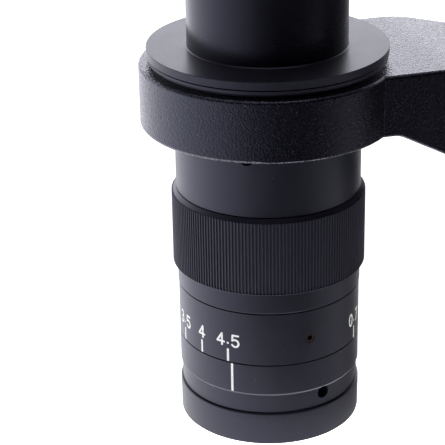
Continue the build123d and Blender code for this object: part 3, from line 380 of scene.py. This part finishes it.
def coated_glass():
    """Clear lens glass with a faint blue-green coating."""
    material, tree, shader = new_material("lens_glass", (0.90, 0.95, 0.96), 0.02, ior=1.62)
    shader.inputs["Transmission Weight"].default_value = 1.0
    shader.inputs["Specular Tint"].default_value = (0.45, 0.75, 1.0, 1)
    haze = noise(tree, place_node(tree), 220.0, 2.0)
    link(tree, ramp(tree, haze, ((0.3, 0.012), (0.8, 0.035))), shader.inputs["Roughness"])
    return material


def moulded_plastic(name, colour, rough):
    material, tree, shader = new_material(name, colour, rough)
    where = place_node(tree)
    grain = noise(tree, where, 2400.0, 3.0, 0.6)
    cloud = noise(tree, where, 160.0, 2.0)
    bump(tree, shader, grain, 0.02 * MM)
    link(tree, ramp(tree, cloud, ((0.3, rough - 0.05), (0.7, rough + 0.07))),
         shader.inputs["Roughness"])
    darker, lighter = shades(colour, 0.8, 1.25)
    link(tree, ramp(tree, grain, ((0.3, darker), (0.7, lighter))), shader.inputs["Base Color"])
    return material


def scale_paint():
    """White paint in the engraved marks, a little worn and not quite even."""
    material, tree, shader = new_material("white_fill", (0.95, 0.95, 0.95), 0.45)
    where = place_node(tree)
    wear = noise(tree, where, 1500.0, 4.0, 0.7)
    link(tree, ramp(tree, wear, ((0.30, (0.66, 0.66, 0.67)), (0.46, (0.97, 0.97, 0.97)))),
         shader.inputs["Base Color"])
    bump(tree, shader, wear, 0.01 * MM)
    return material


DARK_SHINE = {"ior": 1.6, "tint": (0.72, 0.73, 1.0)}
DUST = (0.16, 0.16, 0.17)
# Colour of the painted highlight flecks on the casting paint.
PAINTED_GLINT = (0.052, 0.050, 0.072)
ANODISE = (0.0102, 0.0100, 0.0148)
FINE_ANODISE = (0.0022, 0.0022, 0.0038)
PINION_AXIS = tuple((a + b) / 2 for a, b in zip(*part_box("pinion_shaft")))
CLAMP_AXIS = tuple((a + b) / 2 for a, b in zip(*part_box("lens_clamp_head")))
MATERIALS = {
    "black_anodised": turned_metal("black_anodised", ANODISE, (0.33, 0.42), 0.0, grain=0.030,
                                   specks=0.8, **DARK_SHINE),
    "textured_casting": casting_paint(),
    "optical_glass": coated_glass(),
    "brass": turned_metal("brass", (0.62, 0.42, 0.16), (0.22, 0.36), 1.0, grain=0.002),
    "bright_aluminium": turned_metal("bright_aluminium", (0.72, 0.73, 0.75), (0.25, 0.4), 1.0,
                                     grain=0.002, lines=0.002),
    "steel": turned_metal("steel", (0.48, 0.48, 0.50), (0.18, 0.32), 1.0, grain=0.001),
    "blackened_steel": turned_metal("blackened_steel", (0.045, 0.026, 0.022), (0.32, 0.50), 0.5,
                                    grain=0.006),
    "knob_plastic": moulded_plastic("knob_plastic", (0.011, 0.011, 0.012), 0.36),
    "knob_metal": turned_metal("knob_metal", (0.52, 0.52, 0.54), (0.2, 0.34), 1.0, axis=1,
                               centre=CLAMP_AXIS, grain=0.001, lines=0.003),
    "nylon": moulded_plastic("nylon", (0.62, 0.61, 0.55), 0.45),
    "white_fill": scale_paint(),
}
# The tube has a finer, glossier finish than the lens barrel. The grip, flange and washer are duller.
FINE_BLACK = turned_metal("fine_anodised", FINE_ANODISE, (0.25, 0.31), 0.0, grain=0.006, lines=0.0002,
                          specks=0.4, level=0.38, **DARK_SHINE)
GRIP_BLACK = turned_metal("grip_anodised", (0.0165, 0.0160, 0.0225), (0.38, 0.50), 0.0, grain=0.008,
                          lines=0.0003, specks=0.6, **DARK_SHINE)
FLANGE_BLACK = turned_metal("flange_anodised", (0.0175, 0.0170, 0.0240), (0.30, 0.38), 0.0, grain=0.012,
                            lines=0.0005, specks=0.5, level=0.36, **DARK_SHINE)
WASHER_BLACK = turned_metal("washer_anodised", (0.020, 0.019, 0.026), (0.36, 0.44), 0.0, grain=0.012,
                            lines=0.0005, level=0.5, **DARK_SHINE)
# The focus knobs' caps turn about the pinion's axis, so their tool lines do too.
CAP_METAL = turned_metal("cap_metal", (0.52, 0.52, 0.54), (0.2, 0.34), 1.0, axis=1,
                         centre=PINION_AXIS, grain=0.001, lines=0.003)


# ------------------------------------------------------------------- meshes
def rounded(corners, steps=3):
    """Points of a closed profile with each (radius, height, edge radius) corner rounded by an arc."""
    points = []
    count = len(corners)
    for index, (r, z, edge) in enumerate(corners):
        here = Vector((r, z))
        back = Vector(corners[index - 1][:2]) - here
        ahead = Vector(corners[(index + 1) % count][:2]) - here
        if edge == 0:
            points.append((r, z))
            continue
        back_way, ahead_way = back.normalized(), ahead.normalized()
        half = acos(max(-1.0, min(1.0, back_way.dot(ahead_way)))) / 2
        run = min(edge / tan(half), 0.48 * back.length, 0.48 * ahead.length)
        arc_r = run * tan(half)
        centre = here + (back_way + ahead_way).normalized() * (arc_r / sin(half))
        first = here + back_way * run - centre
        last = here + ahead_way * run - centre
        sweep = first.angle_signed(last)
        for step in range(steps + 1):
            spoke = first.copy()
            spoke.rotate(Matrix.Rotation(-sweep * step / steps, 2))
            points.append(tuple(centre + spoke))
    return points


SHARP = 35.0                  # edges sharper than this many degrees stay crisp


def finish_mesh(name, vertices, faces, sharp=SHARP):
    """Mesh object with outward faces and smooth shading that keeps flat faces flat."""
    mesh = bpy.data.meshes.new(name)
    mesh.from_pydata(vertices, [], faces)
    build = bmesh.new()
    build.from_mesh(mesh)
    bmesh.ops.remove_doubles(build, verts=build.verts, dist=1e-7)
    bmesh.ops.recalc_face_normals(build, faces=build.faces)
    build.to_mesh(mesh)
    build.free()
    obj = bpy.data.objects.new(name, mesh)
    bpy.context.scene.collection.objects.link(obj)
    smooth(obj, sharp)
    return obj


def smooth(obj, sharp):
    mesh = obj.data
    mesh.polygons.foreach_set("use_smooth", [True] * len(mesh.polygons))
    mesh.set_sharp_from_angle(angle=radians(sharp))
    if "weights" not in obj.modifiers:
        weights = obj.modifiers.new("weights", "WEIGHTED_NORMAL")
        weights.keep_sharp = True


def lathe(name, corners, segments=256, modulate=None, spots=None, sharp=SHARP):
    """Ring turned from a closed profile. modulate(radius, angle) may give a new radius."""
    profile = rounded(corners)
    angles = spots or [2 * pi * k / segments for k in range(segments)]
    vertices = []
    for angle in angles:
        for r, z in profile:
            radius = modulate(r, angle) if modulate else r
            vertices.append((radius * cos(angle) * MM, radius * sin(angle) * MM, z * MM))
    count, rows = len(profile), len(angles)
    faces = []
    for row in range(rows):
        for k in range(count):
            a, b = row * count, (row + 1) % rows * count
            faces.append((a + k, b + k, b + (k + 1) % count, a + (k + 1) % count))
    return finish_mesh(name, vertices, faces, sharp)


def radial_holes(obj, radius, height, from_r, to_r, bearings):
    """Cut round holes into a turned piece along its radii."""
    build = bmesh.new()
    for bearing in bearings:
        turn = Matrix.Rotation(radians(bearing), 4, "Z")
        middle = Matrix.Translation(((from_r + to_r) / 2 * MM, 0, height * MM))
        lay = Matrix.Rotation(pi / 2, 4, "Y")
        bmesh.ops.create_cone(build, cap_ends=True, segments=48, radius1=radius * MM,
                              radius2=radius * MM, depth=(to_r - from_r) * MM,
                              matrix=turn @ middle @ lay)
    mesh = bpy.data.meshes.new("holes")
    build.to_mesh(mesh)
    build.free()
    cutter = bpy.data.objects.new("holes", mesh)
    bpy.context.scene.collection.objects.link(cutter)
    cut = obj.modifiers.new("holes", "BOOLEAN")
    cut.object = cutter
    cut.solver = "EXACT"
    weights = obj.modifiers["weights"]
    obj.modifiers.remove(weights)
    result = bpy.data.meshes.new_from_object(obj.evaluated_get(
        bpy.context.evaluated_depsgraph_get()))
    obj.modifiers.clear()
    obj.data = result
    bpy.data.objects.remove(cutter)
    smooth(obj, SHARP)


def stand_in(obj, node, finish=None):
    """Let a turned, black anodised piece stand for a CAD node, on that node's body."""
    obj.data.materials.clear()
    obj.data.materials.append(finish or MATERIALS["black_anodised"])
    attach(obj, NODES[node]["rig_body"])
    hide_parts(node)


def span(node):
    """Lowest and highest height of a node, in millimetres."""
    low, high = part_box(node)
    return low.z / MM, high.z / MM


def outer(node):
    """Largest radius of a turned node, in millimetres."""
    low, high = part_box(node)
    return max(-low.x, high.x, -low.y, high.y) / MM


def screw_place(node):
    """Radius and height of a ring of radial screws, in millimetres."""
    low, high = span(node)
    return (high - low) / 2, (low + high) / 2


# ----------------------------------------------------------- the lens's rings
# Bearings of the screws about the lens axis, in degrees.
NECK_BEARING = -71.2
SCALE_BEARING = -81.8
BARREL_BEARING = -120.8
FINE = 0.12                   # edge radius of a broken edge


def thirds(bearing):
    """Three bearings, a third of a turn apart."""
    return [bearing + 120 * k for k in range(3)]


def make_nose():
    """Front ring: an internal thread at its rim and a slight taper up to its lip."""
    low, high = span("nose_ring")
    reach = outer("nose_ring")
    rim, lip_z, seat = reach - 0.05, low + 5.0, low + 4.5
    bore, spigot = 20.6, 21.22
    pitch, depth, turns = 0.75, 0.40, 5
    thread = []
    for turn in range(turns, 0, -1):
        thread += [(bore, low + (turn - 0.15) * pitch, 0), (bore + depth, low + (turn - 0.5) * pitch, 0)]
    corners = [(bore + 0.5, low, FINE), (rim, low, 0.45), (rim, lip_z, 0),
               (reach, lip_z + 1.0, 0), (reach, high, 0.42), (spigot, high, 0), (spigot, seat, 0),
               (bore, seat, 0), *thread, (bore, low + 0.55, 0)]
    stand_in(lathe("nose_ring_turned", corners), "nose_ring")


def make_index_barrel():
    """Barrel with a neck, and a bevel above the neck that catches the light."""
    low, high = span("index_barrel")
    reach = outer("index_barrel")
    neck = reach - 0.4
    bottom, shoulder = 9.1, 14.1
    bevel, bevel_high = 0.27, 0.56
    bore, spigot = 18.97, 21.2
    sleeve, step = 17.83, 16.6
    corners = [(bore, low, 0), (spigot, low, 0), (spigot, bottom, 0), (neck, bottom, FINE),
               (neck, shoulder, 0.08), (reach - bevel, shoulder + 0.02, 0.03),
               (reach, shoulder + bevel_high, 0.04), (reach, high, FINE), (sleeve, high, 0),
               (sleeve, step, 0), (bore, step, 0)]
    piece = lathe("index_barrel_turned", corners)
    hole, height = screw_place("neck_screws")
    radial_holes(piece, hole + 0.1, height + 0.25, bore - 1, reach + 1,
                 (NECK_BEARING, NECK_BEARING + 180))
    stand_in(piece, "index_barrel")


def make_scale_ring():
    """Ring that carries the scale, with a thin seam at each end."""
    low, high = span("scale_ring")
    reach = outer("scale_ring")
    bore = 21.34
    root, low_seam, high_seam = reach - 0.7, 0.12, 0.16
    corners = [(bore, low, 0), (root, low, 0), (root, low + low_seam, 0), (reach, low + low_seam, 0.08),
               (reach, high - high_seam, 0.08), (root, high - high_seam, 0), (root, high, 0),
               (bore, high, 0)]
    piece = lathe("scale_ring_turned", corners)
    hole, height = screw_place("scale_ring_screws")
    radial_holes(piece, hole, height, bore - 1, reach + 1, thirds(SCALE_BEARING))
    stand_in(piece, "scale_ring")


def join(first, second):
    """Put the second object's mesh into the first as one more shell, after its own faces."""
    build = bmesh.new()
    build.from_mesh(first.data)
    build.from_mesh(second.data)
    build.to_mesh(first.data)
    build.free()
    bpy.data.objects.remove(second)


def make_zoom_ring():
    """Band, ribbed grip and chamfer. The ribs have rounded tips and narrow square gaps."""
    low, high = span("zoom_ring")
    reach = outer("zoom_ring")
    band, bore, barrel = 23.56, 21.32, outer("main_barrel")
    grip_low, rim_top, grip_high = 43.13, 43.40, 62.42
    ribs, depth = 180, 0.34
    rib_shape = ((0.00, 1.0), (0.06, 0.42), (0.14, 0.14), (0.24, 0.02), (0.36, 0.02), (0.46, 0.14),
                 (0.54, 0.42), (0.60, 1.0), (0.80, 1.0))
    spots = [(rib + share) * 2 * pi / ribs for rib in range(ribs) for share, _ in rib_shape]
    sunk = {spot: cut * depth for spot, cut in zip(spots, [cut for _, cut in rib_shape] * ribs)}
    root = reach - depth

    def grip(r, angle):
        return r - sunk[angle] if r > root else r

    piece = lathe("zoom_ring_turned", [
        (bore, low, 0), (band, low, 0.20), (band, grip_low, 0.05), (reach - 0.15, grip_low, 0.05),
        (reach, grip_low + 0.14, 0.06), (reach, rim_top, 0.03), (root - 0.2, rim_top, 0),
        (root - 0.2, grip_high, 0), (root - 0.02, grip_high + 0.02, 0.0), (barrel + 0.06, high, 0.04),
        (barrel, high, 0), (bore, high, 0)])
    ribbed = lathe("ribs", [
        (root - 0.3, rim_top - 0.05, 0), (reach, rim_top - 0.05, 0), (reach, grip_high - 0.10, 0),
        (reach - 0.12, grip_high + 0.02, 0), (root - 0.3, grip_high + 0.02, 0)],
        modulate=grip, spots=spots, sharp=50.0)
    body_faces = len(piece.data.polygons)
    join(piece, ribbed)
    stand_in(piece, "zoom_ring")
    piece.data.materials.append(GRIP_BLACK)
    for face in piece.data.polygons[body_faces:]:
        face.material_index = 1
    smooth(piece, 50.0)


def make_main_barrel():
    """Plain barrel up through the arm's ring, with two steps in its bore."""
    low, high = span("main_barrel")
    reach = outer("main_barrel")
    bore, collar, throat = 19.28, 17.83, 18.0
    collar_low, collar_high = 74.2, 80.02
    corners = [(bore, low, 0), (reach, low, FINE), (reach, high, 0), (throat, high, 0),
               (throat, collar_high, 0), (collar, collar_high, 0), (collar, collar_low, 0),
               (bore, collar_low, 0)]
    piece = lathe("main_barrel_turned", corners)
    hole, height = screw_place("barrel_screws")
    radial_holes(piece, hole + 0.3, height, bore - 0.06, reach + 1, thirds(BARREL_BEARING))
    stand_in(piece, "main_barrel")


def make_flange():
    """The wide flange with a seam at its foot, and the stepped washer under it."""
    low, high = span("seat_washer")
    reach = outer("seat_washer")
    bore = outer("main_barrel") + 0.02
    foot, step = 28.8, high - 0.90
    stand_in(lathe("seat_washer_turned", [
        (bore, low, 0), (foot, low, 0.05), (foot, step, 0.05), (reach, step, 0.1), (reach, high, 0.1),
        (bore, high, 0)]), "seat_washer", WASHER_BLACK)
    low, high = span("top_flange")
    reach = outer("top_flange")
    bore = outer("upper_tube") + 0.02
    top, collar = high - 0.45, high - 0.21
    root, seam = reach - 0.8, low + 0.30
    stand_in(lathe("top_flange_turned", [
        (bore, low, 0), (root, low, 0), (root, seam, 0), (reach, seam, 0.08), (reach, top, 0.16),
        (bore + 0.26, top, 0.08), (bore + 0.05, collar, 0.03), (bore, collar, 0)], segments=320),
        "top_flange", FLANGE_BLACK)


def make_tube():
    """The upper tube, with the camera adapter's screw holes near its top."""
    low, high = span("upper_tube")
    reach, bore = outer("upper_tube"), 18.0
    piece = lathe("upper_tube_turned", [(bore, low, 0), (reach, low, 0), (reach, high, 0.3),
                                        (bore, high, 0.2)])
    hole, height = screw_place("adapter_screws")
    radial_holes(piece, hole, height, bore - 1, reach + 1, thirds(BARREL_BEARING))
    stand_in(piece, "upper_tube", FINE_BLACK)


# ------------------------------------------------------------- painted marks
MARK_PROUD, MARK_DEEP = 0.014, 0.05
STROKE, TICK_WIDTH, INDEX_WIDTH = 0.54, 0.60, 0.62
GLYPH_LOW, GLYPH_HIGH = 27.43, 30.57      # middle of the lowest and highest stroke
TICK_LOW, TICK_HIGH = 23.08, 26.6
GLYPH_WIDE = 2.0                          # between the middles of the outer strokes
HALF_STEP = radians(5.1)                  # from a tick to the middle of the figure beside it
POINT_Z, POINT_WIDTH, POINT_HALF = 28.2, 0.56, 0.03
INDEX_LOW, INDEX_HIGH = 14.70, 22.58
INDEX_BEARING = -131.7
SCALE_START = -134.4                      # bearing of the 4.5 mark
# Each mark and its distance from the first in degrees.
SCALE_MARKS = (("4.5", 0.0), ("4", 20.55), ("3.5", 40.9), ("3", 67.0), ("2.5", 95.0), ("2", 127.5),
               ("1.5", 167.0), ("1", 220.0), ("0.7", 264.6))


def bow(middle, radii, start, end, steps=14):
    """Points of an elliptic arc, angles in degrees."""
    return [(middle[0] + radii[0] * cos(radians(start + (end - start) * k / steps)),
             middle[1] + radii[1] * sin(radians(start + (end - start) * k / steps)))
            for k in range(steps + 1)]


# Strokes of each figure in a box from (-0.5, 0) to (0.5, 1).
FIGURES = {
    "0": [bow((0, 0.5), (0.42, 0.5), 0, 360, 32)],
    "1": [[(-0.22, 0.78), (0.06, 1.0)], [(0.06, 1.0), (0.06, 0.0)]],
    "2": [bow((0, 0.70), (0.42, 0.30), 165, -35) + [(-0.44, 0.0)], [(-0.44, 0.0), (0.44, 0.0)]],
    "3": [bow((-0.02, 0.76), (0.40, 0.24), 150, -90, 18), bow((-0.02, 0.27), (0.46, 0.27), 90, -150, 18)],
    "4": [[(0.20, 1.0), (-0.5, 0.29)], [(-0.5, 0.29), (0.5, 0.29)], [(0.20, 1.0), (0.20, 0.0)]],
    "5": [[(0.40, 1.0), (-0.36, 1.0)], [(-0.36, 1.0), (-0.42, 0.53)],
          [(-0.42, 0.53), (-0.25, 0.61)] + bow((-0.03, 0.31), (0.47, 0.31), 100, -150, 20)],
    "7": [[(-0.44, 1.0), (0.44, 1.0)], [(0.44, 1.0), (-0.14, 0.0)]],
}


def add_stroke(vertices, faces, radius, points, width, round_ends=True):
    """One painted line on a cylinder, through (angle * radius, height) points in millimetres."""
    path = [Vector(points[0])]
    for point in points[1:]:
        run = Vector(point) - path[-1]
        count = max(1, ceil(run.length / 0.3))
        path += [path[-1] + run * (k / count) for k in range(1, count)] + [Vector(point)]
    half = width / 2
    sections = []
    for index, point in enumerate(path):
        way = (path[min(index + 1, len(path) - 1)] - path[max(index - 1, 0)]).normalized()
        sections.append((point, way, half))
    if round_ends:
        steps = [radians(a) for a in (75, 50, 25)]
        first, last = sections[0], sections[-1]
        sections = ([(first[0] - first[1] * half * sin(a), first[1], half * cos(a)) for a in steps]
                    + sections
                    + [(last[0] + last[1] * half * sin(a), last[1], half * cos(a))
                       for a in reversed(steps)])
    base = len(vertices)
    for point, way, reach in sections:
        side = Vector((-way.y, way.x)) * reach
        for spot, proud in ((point + side, MARK_PROUD), (point - side, MARK_PROUD),
                            (point - side, -MARK_DEEP), (point + side, -MARK_DEEP)):
            angle, out = spot.x / radius, radius + proud
            vertices.append((out * cos(angle) * MM, out * sin(angle) * MM, spot.y * MM))
    for row in range(len(sections) - 1):
        a, b = base + row * 4, base + row * 4 + 4
        faces += [(a + k, a + (k + 1) % 4, b + (k + 1) % 4, b + k) for k in range(4)]
    end = base + len(sections) * 4 - 4
    faces += [(base, base + 3, base + 2, base + 1), (end, end + 1, end + 2, end + 3)]


def make_marks():
    """Magnification scale on the scale ring and the index line on the barrel below it."""
    radius = outer("scale_ring")
    vertices, faces = [], []
    for text, away in SCALE_MARKS:
        middle = radians(SCALE_START - away) * radius
        add_stroke(vertices, faces, radius, [(middle, TICK_LOW), (middle, TICK_HIGH)], TICK_WIDTH, False)
        figures = [(text[0], 0.0)] if len(text) == 1 else [(text[0], -1.0), (text[2], 1.0)]
        for figure, side in figures:
            across = middle + side * HALF_STEP * radius
            for stroke in FIGURES[figure]:
                add_stroke(vertices, faces, radius,
                           [(across + u * GLYPH_WIDE, GLYPH_LOW + v * (GLYPH_HIGH - GLYPH_LOW))
                            for u, v in stroke], STROKE)
        if len(text) > 1:
            add_stroke(vertices, faces, radius,
                       [(middle - POINT_HALF, POINT_Z), (middle + POINT_HALF, POINT_Z)], POINT_WIDTH)
    marks = finish_mesh("scale_marks", vertices, faces)
    line_radius = outer("index_barrel")
    vertices, faces = [], []
    middle = radians(INDEX_BEARING) * line_radius
    add_stroke(vertices, faces, line_radius, [(middle, INDEX_LOW), (middle, INDEX_HIGH)], INDEX_WIDTH,
               False)
    line = finish_mesh("index_mark", vertices, faces)
    for piece, node in ((marks, "scale_ring"), (line, "index_barrel")):
        piece.data.materials.append(MATERIALS["white_fill"])
        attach(piece, NODES[node]["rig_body"])


# Nodes whose finish isn't the plain one of their slot.
OWN_FINISH = {"knob_cap_left": CAP_METAL, "knob_cap_right": CAP_METAL, "neck_screws": FINE_BLACK,
              "barrel_screws": FINE_BLACK}

make_camera()
make_world()
make_floor()
for name, middle, reach, level, lift in PLATES:
    make_plate(name, middle, reach, level, lift)
for near, far, levels in CARDS:
    make_card(near, far, levels)
make_nose()
make_index_barrel()
make_scale_ring()
make_zoom_ring()
make_main_barrel()
make_flange()
make_tube()
make_marks()
for name, node in NODES.items():
    for spot in node.material_slots:
        key = spot.material.name.split(".")[0]
        spot.material = OWN_FINISH.get(name, MATERIALS[key])
bpy.context.scene.view_settings.view_transform = "Standard"
